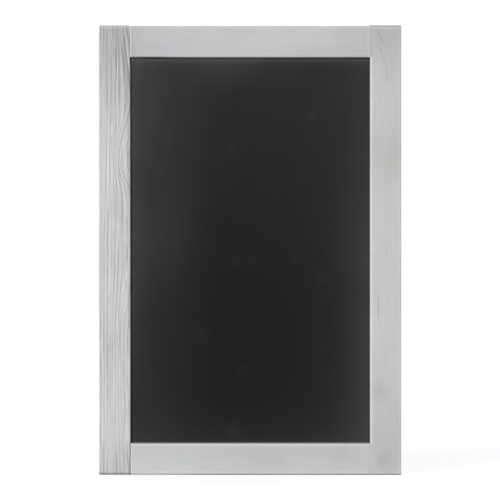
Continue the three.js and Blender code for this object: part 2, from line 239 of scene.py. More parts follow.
@nodeGroup("width", "length")
def fineFibres(place, width, length):
    # Fibres along the third axis, and short dark resin lines among them
    place = counted(place, width, length)
    shorter = vectorCalc("MULTIPLY", place, (1, 1, 4))
    return {
        "fibre": ramp(noiseValue(place, 1, 3, 0.6), 0.3, 0.7, -1, 1, False),
        "dash": ramp(noiseValue(shorter, 0.8, 1, 0.4), 0.70, 0.78),
    }


@nodeGroup("phase", "fadeLength")
def yearRings(place, phase, fadeLength):
    # Each ring: pale early wood, then late wood that darkens slowly and ends sharply.
    # Band is the ring's own lightness, from -1 to 1.
    part = calc("FRACT", phase)
    ring = calc("FLOOR", phase) * 3.7
    run = split(place)[2] / fadeLength

    def fading(value, shift):
        return value * ramp(noiseValue(vectorOf(ring, run, shift), 1, 2, 0.6), 0.36, 0.66, 0.08, 1)

    band = noiseValue(vectorOf(ring, run * 0.6, 15.5), 1, 1, 0.5)
    return {
        "lateWood": fading(ramp(part, 0.58, 0.86) * ramp(part, 0.92, 0.995, 1, 0), 0.5),
        "earlyWood": fading(ramp(part, 0.0, 0.05) * ramp(part, 0.08, 0.42, 1, 0), 7.5),
        "band": ramp(band, 0.3, 0.7, -1, 1, False),
    }


@nodeGroup("edge", "patchSize")
def edgeWear(place, edge, patchSize):
    # Rubbed arrises: the given nearness to an edge, broken up
    broken = noiseValue(place, 1 / patchSize, 4, 0.65)
    return {"worn": ramp(edge - broken * 0.9, 0.12, 0.42)}


@nodeGroup("amount", "patchSize")
def thinDust(place, amount, patchSize):
    # Dust that lies in patches, and separate specks
    scale = 1 / patchSize
    cells = addNode("TexVoronoi", {"Vector": place, "Scale": scale * 4}, "Distance")
    return {
        "dust": ramp(noiseValue(place, scale, 5, 0.62), 0.38, 0.72) * amount,
        "speck": ramp(cells, 0.06, 0.16, 1, 0),
    }


print("shared effects ready")


# Mesh helpers

def selectOnly(obj):
    bpy.ops.object.select_all(action="DESELECT")
    obj.select_set(True)
    bpy.context.view_layer.objects.active = obj


def takeNew(name):
    # Names the primitive just added and puts its place into its mesh
    obj = bpy.context.active_object
    obj.name = obj.data.name = name
    selectOnly(obj)
    bpy.ops.object.transform_apply(location=True, rotation=True, scale=True)
    return obj


def addBlock(name, low, high):
    bpy.ops.mesh.primitive_cube_add(size=1, location=(low + high) / 2, scale=high - low)
    return takeNew(name)


def addCylinder(name, middle, axis, radius, depth):
    turn = (0, radians(90), 0) if axis == 0 else (radians(90), 0, 0)
    bpy.ops.mesh.primitive_cylinder_add(
        vertices=32, radius=radius, depth=depth, location=middle, rotation=turn
    )
    return takeNew(name)


def selectAll():
    bpy.ops.mesh.select_all(action="SELECT")


def pick(obj, kind, test):
    # In edit mode: selects the faces, edges or verts that pass the test, and nothing else
    shape = bmesh.from_edit_mesh(obj.data)
    bpy.ops.mesh.select_all(action="DESELECT")
    bpy.ops.mesh.select_mode(type={"faces": "FACE", "edges": "EDGE", "verts": "VERT"}[kind])
    for item in getattr(shape, kind):
        if test(item):
            item.select_set(True)
    bmesh.update_edit_mesh(obj.data)


def extrudeBy(x, y, z):
    bpy.ops.mesh.extrude_region_move(TRANSFORM_OT_translate={"value": (x, y, z)})


def spinBy(centre, axis, degrees, steps):
    # Right-handed about the axis, which is the operator's negative angle
    bpy.ops.mesh.spin(steps=steps, angle=-radians(degrees), center=centre, axis=axis)


def scaleAbout(centre, x, z):
    bpy.ops.transform.resize(value=(x, 1, z), center_override=centre)


def bisectAt(axis, value):
    selectAll()
    point, normal = Vector(), Vector()
    point[axis], normal[axis] = value, 1
    bpy.ops.mesh.bisect(plane_co=point, plane_no=normal)


def weld():
    selectAll()
    bpy.ops.mesh.remove_doubles(threshold=1e-5)
    bpy.ops.mesh.normals_make_consistent(inside=False)


def editMode(on):
    bpy.ops.object.mode_set(mode="EDIT" if on else "OBJECT")


def applyModifier(obj, kind, **settings):
    modifier = obj.modifiers.new(kind.title(), kind)
    for key, value in settings.items():
        setattr(modifier, key, value)
    selectOnly(obj)
    bpy.ops.object.modifier_apply(modifier=modifier.name)


def cutAway(obj, cutter):
    applyModifier(obj, "BOOLEAN", operation="DIFFERENCE", solver="EXACT", object=cutter)
    bpy.data.objects.remove(cutter)


def softenEdges(obj, width, degrees=50):
    limit = radians(degrees)
    applyModifier(obj, "BEVEL", width=width, segments=2, limit_method="ANGLE", angle_limit=limit)


def smoothShade(obj, degrees=35):
    selectOnly(obj)
    bpy.ops.object.shade_smooth_by_angle(angle=radians(degrees))


def turned(name, foot, stations, sides):
    # Draws a round piece out along +Y from a filled circle, by stations of (distance, radius)
    start, radius = stations[0]
    bpy.ops.mesh.primitive_circle_add(
        vertices=sides,
        radius=radius,
        fill_type="NGON",
        location=foot + Vector((0, start, 0)),
        rotation=(radians(90), 0, 0),
    )
    obj = takeNew(name)
    editMode(True)
    selectAll()
    for (before, radiusBefore), (distance, radius) in zip(stations, stations[1:]):
        extrudeBy(0, distance - before, 0)
        scaleAbout(foot, radius / radiusBefore, radius / radiusBefore)
    selectAll()
    bpy.ops.mesh.normals_make_consistent(inside=False)
    editMode(False)
    return obj


def domed(start, height, outer, inner, arc, steps):
    # Stations of a rounded end, from the outer radius towards the inner one
    for i in range(steps + 1):
        angle = radians(arc) * i / steps
        yield start + height * sin(angle) / sin(radians(arc)), inner + (outer - inner) * cos(angle)


def copyPiece(source, name, move, turn=0.0):
    # A copy with its own mesh, turned about the Y axis and then moved
    selectOnly(source)
    bpy.ops.object.duplicate()
    obj = bpy.context.active_object
    obj.rotation_euler = (0, turn, 0)
    obj.location = move
    return takeNew(name)


def addPiece(obj, material, body, node):
    obj.data.materials.clear()
    obj.data.materials.append(material)
    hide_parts(node)
    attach(obj, body)


def dress(material, *nodes):
    for node in nodes:
        for slot in frame["nodes"][node].material_slots:
            slot.material = material


def nodesNamed(ending, *words):
    return [name for name in frame["nodes"] if ending in name and any(word in name for word in words)]


def frontMiddle(node):
    # The middle of the node's box on its front
    low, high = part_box(node)
    return Vector(((low.x + high.x) / 2, low.y, (low.z + high.z) / 2))


# Whitewashed pine. Every frame member carries its own attributes:
# woodPlace is (across, through, along) in metres, ringPhase counts the year rings,
# nearEdge is 1 on an arris, toneShift lightens or darkens the wash and also holds painted
# highlights and painted shade along the arrises, tintShift adds red and blue to it,
# and thickWash is 1 where the wash hides the grain.

pineLook = {
    "wash": (0.555, 0.555, 0.555, 1),
    "lateWood": (0.30, 0.30, 0.30, 1),
    "barePine": (0.50, 0.40, 0.28, 1),
    "bareLateWood": (0.31, 0.21, 0.12, 1),
    "roughness": 0.74,
}

# How strongly each effect shows in a member's finish
brushedLook = {
    "line": 1.0, "pale": 0.10, "band": 0.06, "fadeLength": 0.08, "mottle": 0.03, "strokes": 0.075,
    "fibre": 0.035, "dash": 0.12, "wear": 0.05, "bump": 0.55,
}
smoothLook = {
    "line": 0.08, "pale": 0.012, "band": 0.010, "fadeLength": 0.06, "mottle": 0.030, "strokes": 0.012,
    "fibre": 0.010, "dash": 0.03, "wear": 0.04, "bump": 0.3,
}


def makePine(name, look):
    material, tree = startMaterial(name)
    place = attribute(tree, "woodPlace", "Vector")
    rings = yearRings(place, phase=attribute(tree, "ringPhase"), fadeLength=look["fadeLength"])
    fibres = fineFibres(place, width=0.0007, length=0.035)
    mottle = softPatches(place, patchSize=0.022, stretch=2.6).value
    strokes = softPatches(place, patchSize=0.0024, stretch=16).value
    worn = edgeWear(place, edge=attribute(tree, "nearEdge"), patchSize=0.006).worn
    thick = attribute(tree, "thickWash")
    shown, partShown = 1 - thick, 1 - thick * 0.6
    # The wash's tone, which includes the painted highlights and painted shade along the members' edges
    tone = (
        attribute(tree, "toneShift") + 1
        + rings.earlyWood * look["pale"] * shown
        + rings.band * look["band"] * partShown
        + mottle * look["mottle"]
        + strokes * look["strokes"] * partShown
        + fibres.fibre * look["fibre"]
        - fibres.dash * look["dash"] * partShown
    )

    line = rings.lateWood * look["line"] * shown
    colour = mixColour(line, pineLook["wash"], pineLook["lateWood"])
    bare = mixColour(line, pineLook["barePine"], pineLook["bareLateWood"])
    behind = ramp(split(addNode("NewGeometry", {}, "Normal", tree))[1], 0.5, 0.9)
    streaks = noiseValue(vectorCalc("MULTIPLY", place, (60, 60, 9)), 1, 4, 0.6)
    thin = calc("MAXIMUM", worn * look["wear"], behind * ramp(streaks, 0.35, 0.7, 0.25, 0.6))
    colour = mixColour(thin, colour, bare)
    moreRed, _, moreBlue = split(attribute(tree, "tintShift", "Vector"))
    tones = addNode("CombineColor", {0: tone * (moreRed + 1), 1: tone, 2: tone * (moreBlue + 1)})
    height = fibres.fibre - fibres.dash * 1.5 + strokes * 0.6
    return finishMaterial(material, {
        "Base Color": mixColour(1, colour, tones, "MULTIPLY"),
        "Roughness": fibres.fibre * 0.05 - rings.lateWood * 0.08 + pineLook["roughness"],
        "Normal": bump(height, look["bump"], 0.00012),
        "Specular IOR Level": 0.3,
    })


# Frame members. Sizes in metres.

stock = {
    "jointLength": 0.0535,  # a rail's width
    "lipThickness": 0.005,
    "rebateWidth": 0.008,
    "jointGap": 0.00015,
    "tightJointGap": 0.00004,  # the right joints are all but closed
    "widestArris": 0.0028,
    "backArris": 0.0008,
    "arrisSegments": 5,
    "cornerRadius": 0.0016,  # a stile's corners, seen from the front
    "columnWidth": 0.0007,  # of the fine mesh, across the grain
    "rowLength": 0.0022,  # and along it
    "boreClearance": 0.0003,
    "glueRoom": 0.001,  # at the bottom of a dowel's hole
    "bow": 0.0003,  # how far the left stile's upper half falls back from its straight inner edge
    "bowStart": (-0.10, 0.03),  # heights between which it grows
    "topJointShift": 0.0007,  # and how much further the edge falls back at the top joint
    "topJointStart": (0.305, 0.324),
    "ridgeStart": (0.50, 0.84),  # where in a year ring the hard wood rises, and where it ends
    "ridgeEnd": (0.88, 1.0),
    "waverSize": (0.045, 0.17),  # of the rings' wandering, across and along the grain
    "rippleSize": (0.012, 0.045),
    "seedShift": (0.31, 0.17, 0.53),  # each member's grain comes from elsewhere in the noise
    "wearReach": 0.004,  # from an arris
}

leftEdge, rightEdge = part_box("left_stile")[1].x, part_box("right_stile")[0].x


def edgeRun(edge, axis):
    # The edge's length if it lies along the axis, or 0
    span = edge.verts[1].co - edge.verts[0].co
    return abs(span[axis]) if abs(span[axis]) > 0.999 * span.length else 0


def divideRuns(obj, axis, shortest, longest, step):
    # Cuts the edges along an axis into pieces of about one step, in two passes where there are many
    runs = [edgeRun(edge, axis) for edge in bmesh.from_edit_mesh(obj.data).edges]
    pieces = max(run for run in runs if run < longest) / step
    passes = 1 if pieces < 90 else 2
    parts = max(2, round(pieces ** (1 / passes)))
    for _ in range(passes):
        pick(obj, "edges", lambda edge: shortest < edgeRun(edge, axis) < longest)
        bpy.ops.mesh.subdivide(number_cuts=parts - 1)
        shortest, longest = shortest / parts, longest / parts


def easeEdges(obj, radiusOf):
    # Bevels each edge by the radius that radiusOf gives it
    mesh = obj.data
    widest = stock["widestArris"]
    weights = mesh.attributes.new("bevel_weight_edge", "FLOAT", "EDGE")
    for edge in mesh.edges:
        a, b = (mesh.vertices[i].co for i in edge.vertices)
        weights.data[edge.index].value = radiusOf((a + b) / 2, b - a) / widest
    applyModifier(obj, "BEVEL", limit_method="WEIGHT", width=widest, segments=stock["arrisSegments"])


def isAt(value, *targets):
    return any(abs(value - target) < 1e-5 for target in targets)


def blockOut(name, node, along, arrises):
    # The member with its rebate. A rail's front stops at the stiles, and its tongues run on behind them.
    across, isStile = 2 - along, along == 2
    low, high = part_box(node)
    inward = -1 if low[across] + high[across] > 0 else 1
    inner, outer = (high[across], low[across])[::inward]
    wall = inner - inward * stock["rebateWidth"]
    lipBack = low.y + stock["lipThickness"]
    start, end = low.copy(), Vector((high.x, lipBack, high.z))
    if not isStile:
        start.x = leftEdge + stock["jointGap"]
        end.x = rightEdge - stock["tightJointGap"]
    obj = addBlock(name, start, end)
    editMode(True)
    bisectAt(across, wall)
    pick(obj, "faces", lambda f: f.normal.y > 0.9 and (f.calc_center_median()[across] - wall) * inward < 0)
    extrudeBy(0, high.y - lipBack, 0)
    if not isStile:
        tongueFront = lipBack + stock["jointGap"]
        bisectAt(1, tongueFront)
        for side, reach in ((-1, low.x - start.x), (1, high.x - end.x)):
            pick(obj, "faces", lambda f: f.normal.x * side > 0.9 and f.calc_center_median().y > tongueFront)
            extrudeBy(reach, 0, 0)
    editMode(False)

    def radiusOf(middle, span):
        atEnd = isAt(middle[along], start[along], end[along])
        if isAt(middle.y, low.y):
            places = {"lowEnd": start[along], "highEnd": end[along], "inner": inner, "outer": outer}
            sides = [s for s in places if isAt(middle[along if "End" in s else across], places[s])]
            return arrises[sides[0]] / 1000 if sides else 0
        if isAt(middle.y, high.y):
            return stock["backArris"] if isAt(middle[across], outer, wall) or atEnd and isStile else 0
        isCorner = isStile and atEnd and isAt(middle.x, outer, inner) and abs(span.y) > 0
        return stock["cornerRadius"] if isCorner else 0

    easeEdges(obj, radiusOf)
    return obj


def fineMesh(obj, along):
    # Divides the eased block into a fine grid, with short steps across the grain. Each row has an axis
    # and the lengths, in metres, between which its runs are divided.
    across = 2 - along
    editMode(True)
    column = stock["columnWidth"]
    for axis, shortest, longest, step in (
        (along, 0.2, 1, stock["rowLength"]), (across, 0.02, 0.1, column), (across, 0.004, 0.0199, column),
        (1, 0.01, 0.02, column), (1, 0.002, 0.0099, column),
    ):
        divideRuns(obj, axis, shortest, longest, step)
    editMode(False)


def boreMember(obj, dowels, points, screws):
    # Drills and slots the member for the pieces that reach into it
    room = stock["boreClearance"]
    cutters = []
    for node in (*dowels, *screws):
        low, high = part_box(node)
        axis = 0 if node in dowels else 1
        radius = (high.z - low.z) / 2 if node in dowels else screwShape["threadRadius"]
        depth = high[axis] - low[axis] + 2 * stock["glueRoom"]
        cutters.append(addCylinder(node + "Bore", (low + high) / 2, axis, radius + room, depth))
    for node in points:
        low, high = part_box(node)
        cutters.append(addBlock(node + "Slot", low - Vector((room,) * 3), high + Vector((room,) * 3)))
    for cutter in cutters:
        cutter.select_set(True)
    bpy.context.view_layer.objects.active = cutters[0]
    bpy.ops.object.join()
    cutAway(obj, cutters[0])


def smoothStep(value, low, high):
    share = np.clip((value - low) / (high - low), 0, 1)
    return share * share * (3 - 2 * share)


def readVerts(mesh, what):
    values = np.empty(len(mesh.vertices) * 3)
    mesh.vertices.foreach_get(what, values)
    return values.reshape(-1, 3)


def shiftTopJoint(obj):
    # The left stile isn't quite straight, and the top rail's end fits it
    points = readVerts(obj.data, "co")
    x, y, z = points.T
    atLip = y < cadLow.y + stock["lipThickness"] + stock["jointGap"] / 2
    near = np.clip(1 - np.abs(x - leftEdge) / stock["rebateWidth"], 0, 1)
    reach = stock["bow"] * smoothStep(z, *stock["bowStart"])
    reach += stock["topJointShift"] * smoothStep(z, *stock["topJointStart"])
    x -= reach * near * atLip
    obj.data.vertices.foreach_set("co", points.ravel())


def setAttribute(mesh, name, values):
    kind = "FLOAT_VECTOR" if values.ndim == 2 else "FLOAT"
    data = mesh.attributes.new(name, kind, "POINT").data
    data.foreach_set("vector" if values.ndim == 2 else "value", values.astype(np.float32).ravel())


def ringPhase(wood, grain):
    # How many year rings lie between the pith and each place, and a fine ripple from -1 to 1
    u, t, run = wood.T * 1000
    seed = Vector((grain["seed"] * 5.3, grain["seed"] * 1.7, 0))

    def wander(size, shift):
        across, length = size
        scale = Vector((1 / across, 1 / across, 1 / length))
        return np.array([noise.noise(Vector(place) * scale + shift) for place in wood])

    waver, ripple = wander(stock["waverSize"], seed), wander(stock["rippleSize"], -seed)
    radius = np.hypot(u - grain["pith"][0] - grain["lean"] * run, t - grain["pith"][1])
    phase = grain["offset"] + radius / grain["ringWidth"]
    phase += grain["waver"] * waver + grain["ripple"] * ripple
    for along, above, below, edge, spread, rings in grain["swirls"]:
        away = run - along
        reach = np.where(away > 0, above, below)
        phase += rings * np.exp(-((away / reach) ** 2) - (np.abs(u - edge) / spread) ** 3)
    return phase, ripple


def softMarks(rows, wood):
    # Each mark's strength at every place, with its share of tone, red and blue
    u, _, run = wood.T * 1000
    for row in rows:
        across, along, wide, long, tone, slope, red, blue = row + (0,) * (8 - len(row))
        away = run - along
        aside = (u - across - slope * away) / wide
        yield np.exp(-(aside**2) - (away / long) ** 2), tone / 100, red / 100, blue / 100


def growGrain(obj, along, grain):
    # Gives the member its year rings, wears its soft wood down between them and marks its wash, with painted
    # highlights and painted shade along its edges
    mesh = obj.data
    points, normals = readVerts(mesh, "co"), readVerts(mesh, "normal")
    low, high = points.min(axis=0), points.max(axis=0)
    wood = (points - (low + high) / 2)[:, [2 - along, 1, along]]
    run = wood[:, 2]
    phase, ripple = ringPhase(wood, grain)

    thick = np.zeros(len(wood))
    for amount, share, _, _ in softMarks(grain["thickWash"], wood):
        thick += share * amount
    thick = thick.clip(0, 1)
    ridge = smoothStep(phase % 1, *stock["ridgeStart"]) * (1 - smoothStep(phase % 1, *stock["ridgeEnd"]))
    ridge *= 0.7 + 0.3 * np.sin(2.4 * np.floor(phase) + grain["seed"])  # each ring has its own height
    shown = 1 - 0.92 * smoothStep(normals[:, 1], 0.3, 0.9)  # the back is planed
    wornAway = grain["relief"] / 1000 * (1 - ridge) * (0.75 + 0.5 * ripple) * shown * (1 - 0.6 * thick)
    if along == 0:  # the shoulders and tongues are cut, not brushed
        wornAway *= np.abs(normals[:, 0]) < 0.5
    points -= normals * np.clip(wornAway, 0, None)[:, None]
    mesh.vertices.foreach_set("co", points.ravel())

    atFront = wood[:, 1] < wood[:, 1].min() + stock["lipThickness"] * 0.8
    lowEnds, highEnds = wood[atFront].min(axis=0), wood[atFront].max(axis=0)
    atJoint = np.abs(run) > highEnds[2] - stock["jointLength"]
    zones = {
        "all": atFront,
        "joints": atFront & atJoint,
        "highJoint": atFront & atJoint & (run > 0),
        "lowJoint": atFront & atJoint & (run < 0),
        "opening": atFront & ~atJoint,
        "inside": ~atJoint & (np.abs(normals[:, 2 - along]) > 0.7),
    }
    tone = np.full(len(wood), grain["base"])
    tint = np.tile((grain["tint"][0], 0.0, grain["tint"][1]), (len(wood), 1)) / 100
    # Lines along the sides: dark lines in the joints, and painted highlights and painted shade on the arrises
    # and the inside walls
    for row in grain["edges"]:
        side, width, share, zone, inset = row + ("all", 0)[len(row) - 3:]
        axis = 0 if "across" in side else 2
        distance = highEnds[axis] - wood[:, axis] if "High" in side else wood[:, axis] - lowEnds[axis]
        tone += share / 100 * np.exp(-(((distance * 1000 - inset) / width) ** 2)) * zones[zone]
    for amount, share, red, blue in softMarks(grain["marks"], wood):
        tone += share * amount
        tint += amount[:, None] * (red, 0, blue)
    nearSides = np.sort(np.minimum(points - low, high - points), axis=1)[:, :2].T
    setAttribute(mesh, "woodPlace", wood + np.array(stock["seedShift"]) * grain["seed"])
    setAttribute(mesh, "ringPhase", phase + 40)  # above zero, so that it always rises outwards
    setAttribute(mesh, "nearEdge", np.clip(1 - np.hypot(*nearSides) / stock["wearReach"], 0, 1))
    # Tone of the wash, with painted highlights and painted shade along the edges
    setAttribute(mesh, "toneShift", tone)
    setAttribute(mesh, "tintShift", tint)
    setAttribute(mesh, "thickWash", thick)
    mesh.update()


# The members' own values. Lengths are in millimetres, places from the member's middle.
# pith is the rings' centre, across and through, and relief how deep the brushing goes.
# Edges are lines along the sides, partly dirtier wash in the joints and partly painted highlights and painted
# shade on the arrises and the inside walls: (side, width, tone, zone, inset from the side).
# Swirls are rings bent round a knot: (along, above, below, edge, spread, rings).
# Marks are soft places: (across, along, wide, long, tone, slope, red, blue), and those of thickWash hide
# the grain. Tones, reds and blues are in hundredths.

leftStile = {
    "look": brushedLook,
    "arrises": {"inner": 1.8, "outer": 2.0, "lowEnd": 2.8, "highEnd": 2.0},
    "seed": 1, "pith": (90, 110), "lean": 0.0, "ringWidth": 3.9, "offset": 0.55, "waver": 0.30,
    "ripple": 0.08, "relief": 0.26, "base": 0.12, "tint": (0.1, 0.3),
    # Painted highlights on the arrises at the joints and the ends, painted shade along the inner arris and
    # the down-facing bottom arris, and dark lines in the joints
    "edges": [
        ("acrossHigh", 1.2, -12, "highJoint", 3.8), ("acrossHigh", 1.2, 22, "highJoint", 1.4),
        ("acrossHigh", 1.3, -28, "lowJoint", 1.8), ("acrossHigh", 0.9, 12, "lowJoint", 3.4),
        ("acrossHigh", 1.0, -25, "opening", 0), ("alongLow", 1.8, -42, "all", 2.6), ("alongLow", 0.9, 75),
        ("alongHigh", 2.6, 14), ("alongHigh", 1.8, 12, "all", 4.0),
    ],
    "swirls": [(415, 90, 100, 26, 26, -2.6), (158, 52, 40, 26, 30, -3.6), (-150, 75, 240, 26, 28, -2.1)],
    "thickWash": [
        (-22.5, 270, 6, 110, 55), (-11, 95, 9, 55, 60), (18.5, 150, 3.8, 24, 85), (8, -95, 10, 40, 45),
        (-23.5, -50, 6, 120, 50), (20.5, -84, 5.5, 26, 85), (16, 30, 10, 40, 35), (0, -290, 60, 50, 35),
    ],
    "marks": [
        (0, 360, 200, 108, -22), (15, 285, 14, 80, -14.5), (17.2, 330, 2.6, 42, -15, -0.144),
        (20, 340, 1.3, 18, 13), (20.8, 262, 1.4, 30, -11), (20, -350, 1.4, 34, 7), (22.5, 285, 3, 24, -8),
        (-14, 299, 1.4, 70, -13), (-5.2, 304, 1.6, 75, -21), (-1.9, 270, 1.2, 48, 15),
        (1.4, 290, 1.4, 74, -30), (4.5, 280, 1, 40, 76), (4.3, 222, 1, 22, 20, 0.03),
        (7.2, 300, 1.6, 72, -22), (11.9, 262, 1.8, 40, 10), (-17.4, 136, 0.9, 40, 40),
        (-14.8, 134, 1.5, 40, -22), (-12.2, 136, 1, 38, 46), (-6.4, 143, 1.6, 55, -16),
        (-3.7, 143, 1, 55, 5), (-2.2, 105, 1.1, 42, -24), (-0.4, 105, 1, 36, 14), (22.6, 165, 2.4, 70, -28),
        (-18.5, 285, 1.8, 80, 14), (-4.8, 262, 1.4, 34, -14), (4.5, 250, 1, 14, 20), (6.2, 272, 1, 26, -18),
        (10.5, 292, 1.4, 42, 17), (15.5, 318, 1.6, 28, -20), (22.1, 320, 1.3, 26, 42, -0.067),
        (-9, 115, 1, 50, -18), (-5.6, 130, 1, 70, 28), (-14.8, 106, 1.5, 22, -15),
        (5.4, 103, 1.1, 36, 26, -0.03), (8.7, 118, 1.1, 42, -22, -0.06), (8.8, 156, 1.2, 14, 22),
        (16.3, 118, 1.3, 40, -20, -0.12), (17.6, 152, 1.3, 16, 20), (21.3, 160, 1.2, 12, -20),
        (22.4, 92, 2.4, 28, -16), (-11.6, 85, 1.6, 22, 18), (2.4, 72, 1.4, 48, -24), (11, 55, 1.6, 32, -20),
        (-0.4, 30, 1, 40, 32), (6.2, 32, 1, 40, 34), (-7.3, -28, 1, 50, 34), (16.2, -45, 2.2, 18, -18),
        (19.6, 74, 1.1, 14, 30), (-4, 205, 1.5, 14, 22), (11.8, 160, 1.4, 14, -18),
        (-17.7, -90, 1.4, 120, -9), (-15.6, -70, 0.9, 120, 8), (-10.9, -90, 1.2, 125, -16),
        (-8.9, -110, 1, 95, 34), (-14, 140, 12, 45, 1.2), (15, 10, 12, 60, -4), (-5.5, -16, 1, 12, -36),
        (19.3, -42, 1, 10, 30), (15, -60, 1.1, 20, 22, 0.28), (19.5, -10, 4, 12, -16),
        (-13, -65, 12, 22, 4), (-10, -165, 16, 32, -5), (14, -80, 12, 30, 3.5), (12, -168, 12, 18, -5.5),
        (-20, -212, 1.1, 24, 18), (-3, -230, 1, 12, 20), (-13, -270, 14, 40, 3), (16.3, -350, 1.1, 30, -13),
        (-0.6, -358, 6.5, 12, -8), (0, -116, 7, 30, -3.5), (-16, -64, 7, 16, -4.5), (4.5, -128, 1, 18, 48),
        (-0.6, -128, 1, 16, 22), (-8.9, -128, 1, 18, 24), (-24, -128, 1, 18, -34),
        (7.8, -150, 1.1, 34, -20), (14.6, -214, 1.1, 20, 32), (-18.2, -214, 1.6, 22, -16),
        (15.4, -298, 1.4, 20, -24), (-21.2, -298, 1.8, 22, 20), (19.6, -298, 1.1, 20, 26),
        (23.2, -92, 1.4, 42, -36), (15, -335, 7.5, 16, -3, 0, -2.8, 2), (12, -150, 12, 26, -3),
        (0, -380, 60, 40, -8.5),
    ],
}
smoothStock = {"look": smoothLook, "offset": 0.0, "thickWash": []}
rightStile = {
    **smoothStock,
    "arrises": {"inner": 0.9, "outer": 2.0, "lowEnd": 2.8, "highEnd": 2.0},
    "seed": 2, "pith": (170, 60), "lean": 0.0, "ringWidth": 6.2, "waver": 0.7,
    "ripple": 0.12, "relief": 0.06, "base": 0.03, "tint": (0.2, 0.3),
    # Painted highlight along the inner arris, painted shade on the inside wall and the down-facing bottom
    # arris, and painted light lifting the joints' grooves
    "edges": [
        ("acrossLow", 1.4, 28, "opening", 2.7), ("acrossLow", 1.0, -75, "inside", 0),
        ("acrossLow", 1.0, 16, "joints", 0), ("acrossLow", 1.4, -8, "highJoint", 2.2),
        ("acrossHigh", 1.8, 38), ("alongLow", 1.9, -42), ("alongLow", 0.8, 14, "all", 2.7),
        ("alongHigh", 0.9, -24, "all", 1.8), ("alongHigh", 1.8, 20, "all", 3.8),
    ],
    "swirls": [(430, 120, 130, -20, 45, -3.5), (222, 30, 30, -30, 14, 2.6)],
    "marks": [
        (0, 400, 100, 90, -21), (0, 165, 60, 46, -8.5), (0, 165, 60, 60, -1.5), (12, 150, 13, 60, -4),
        (12, 300, 13, 60, -3), (-6, 350, 8.5, 22, 0, 0, -2.2, -0.6), (9, 332, 14, 16, 0, 0, 0, 2),
        (-10, 322, 6, 14, 2, 0, -1.4, 1.4), (-8.5, 360, 1.3, 14, -20, -0.4), (-6, 330, 1.3, 12, -15, -0.4),
        (1.2, 298, 1, 16, -16), (1, 226, 1, 10, -9), (8.5, 212, 1, 12, -8, -0.2),
        (-22.4, 284, 1.3, 12, 7, -0.14), (-16.6, 256, 1.3, 12, 8, -0.3), (-14.5, 227, 1.3, 14, 7, 0.1),
        (-18.7, 200, 1.3, 10, 7, 0.25), (-19.2, 250, 1.3, 14, -7, -0.25), (-17.6, 225, 1.3, 14, -7, 0.1),
        (16.5, 186, 8, 13, 0, 0, -0.8, -3.6), (2, 166, 6, 12, 0, 0, 3.6, -2.8),
        (13, 142, 10, 16, 0, 0, 3.6, -3), (13, 108, 9, 14, 0, 0, 3.2, 1.2), (1, 47, 0.9, 8, -14),
        (1, -3, 0.9, 8, -18), (-12.4, -94, 1, 22, -36), (-10.5, -234, 8.5, 13, -14),
        (-1, -244, 3.6, 10, -7), (-6, -355, 9, 12, -11), (-20.5, 247, 2.6, 12, 10), (-20.5, 4, 3.5, 14, 7),
        (-19, -140, 6, 34, 5), (4, -300, 50, 80, -8), (6, -345, 30, 40, -8),
        (-18, -335, 10, 34, 0, 0, 0.6, 3.4), (8, -354, 12, 12, -5, 0, 0.6, 3),
    ],
}
topRail = {
    **smoothStock,
    "arrises": {"inner": 2.0, "outer": 2.0, "lowEnd": 0.5, "highEnd": 0.2},
    "seed": 3, "pith": (-140, 85), "lean": 0.01, "ringWidth": 5.8, "waver": 0.6,
    "ripple": 0.10, "relief": 0.05, "base": 0.0, "tint": (0.5, 1.2),
    # Painted shade along the down-facing lower arris, painted light at the ends where the joints' grooves are
    # shaded, and a dark line near the left joint
    "edges": [
        ("alongLow", 1.4, 40, "all", 0.4), ("alongLow", 1.4, -12, "all", 3.0), ("alongHigh", 3.0, 15),
        ("acrossLow", 1.4, -24), ("acrossHigh", 0.8, 9, "all", 3.0),
    ],
    "swirls": [(60, 90, 90, -30, 28, -1.5)],
    "marks": [
        (-16, 0, 14, 400, -2.8, 0, 0, 0.8), (-10, -135, 16, 20, -1.5, 0, 0, 2),
        (0, -40, 100, 110, 0, 0, 0.2, 1.2), (0, -205, 100, 40, -9), (-26.2, -165, 1.2, 40, -50),
        (-6, -152, 14, 14, 0, 0, -5, -2), (0, 205, 100, 50, -8.5, 0, -0.5, -0.4), (0, 152, 40, 10, -3.5),
        (-8, -108, 10, 12, -3.5), (0, 0, 100, 80, 1.5),
    ],
}
bottomRail = {
    **smoothStock,
    "arrises": {"inner": 2.0, "outer": 2.8, "lowEnd": 0.5, "highEnd": 0.2},
    "seed": 4, "pith": (130, 100), "lean": -0.015, "ringWidth": 5.6, "waver": 0.6,
    "ripple": 0.10, "relief": 0.05, "base": 0.025, "tint": (-1.4, 2.0),
    # Painted highlight on the upward-facing upper arris, painted shade on the down-facing bottom arris, and
    # painted light at the left joint
    "edges": [
        ("alongLow", 1.6, 13, "all", 1.0), ("alongHigh", 2.0, 4), ("acrossHigh", 2.0, 13, "all", 2.6),
        ("acrossHigh", 0.9, -20), ("acrossLow", 1.0, 18, "all", 4.8), ("acrossLow", 2.1, -40, "all", 0.5),
    ],
    "swirls": [(-70, 80, 80, 30, 24, -1.4)],
    "marks": [
        (-12, -160, 18, 110, 6.5), (-26.4, -170, 1.2, 50, 70), (0, -198, 100, 7, 2), (12, 140, 16, 90, -6),
        (12, -20, 14, 26, -3), (-10, -190, 30, 35, 2, 0, 0.8, 0), (0, -120, 18, 26, 0, 0, -1, 0),
        (0, 10, 30, 20, -2, 0, 1.4, 0), (0, 40, 30, 22, -5), (2, 68, 14, 14, 0, 0, -1.2, -0.8),
        (0, 110, 30, 30, 0, 0, 2.2, 0.4), (4, 170, 14, 14, -1, 0, -0.6, 0), (0, 152, 40, 10, -3.5),
        (14, 12, 14, 24, -3),
    ],
}

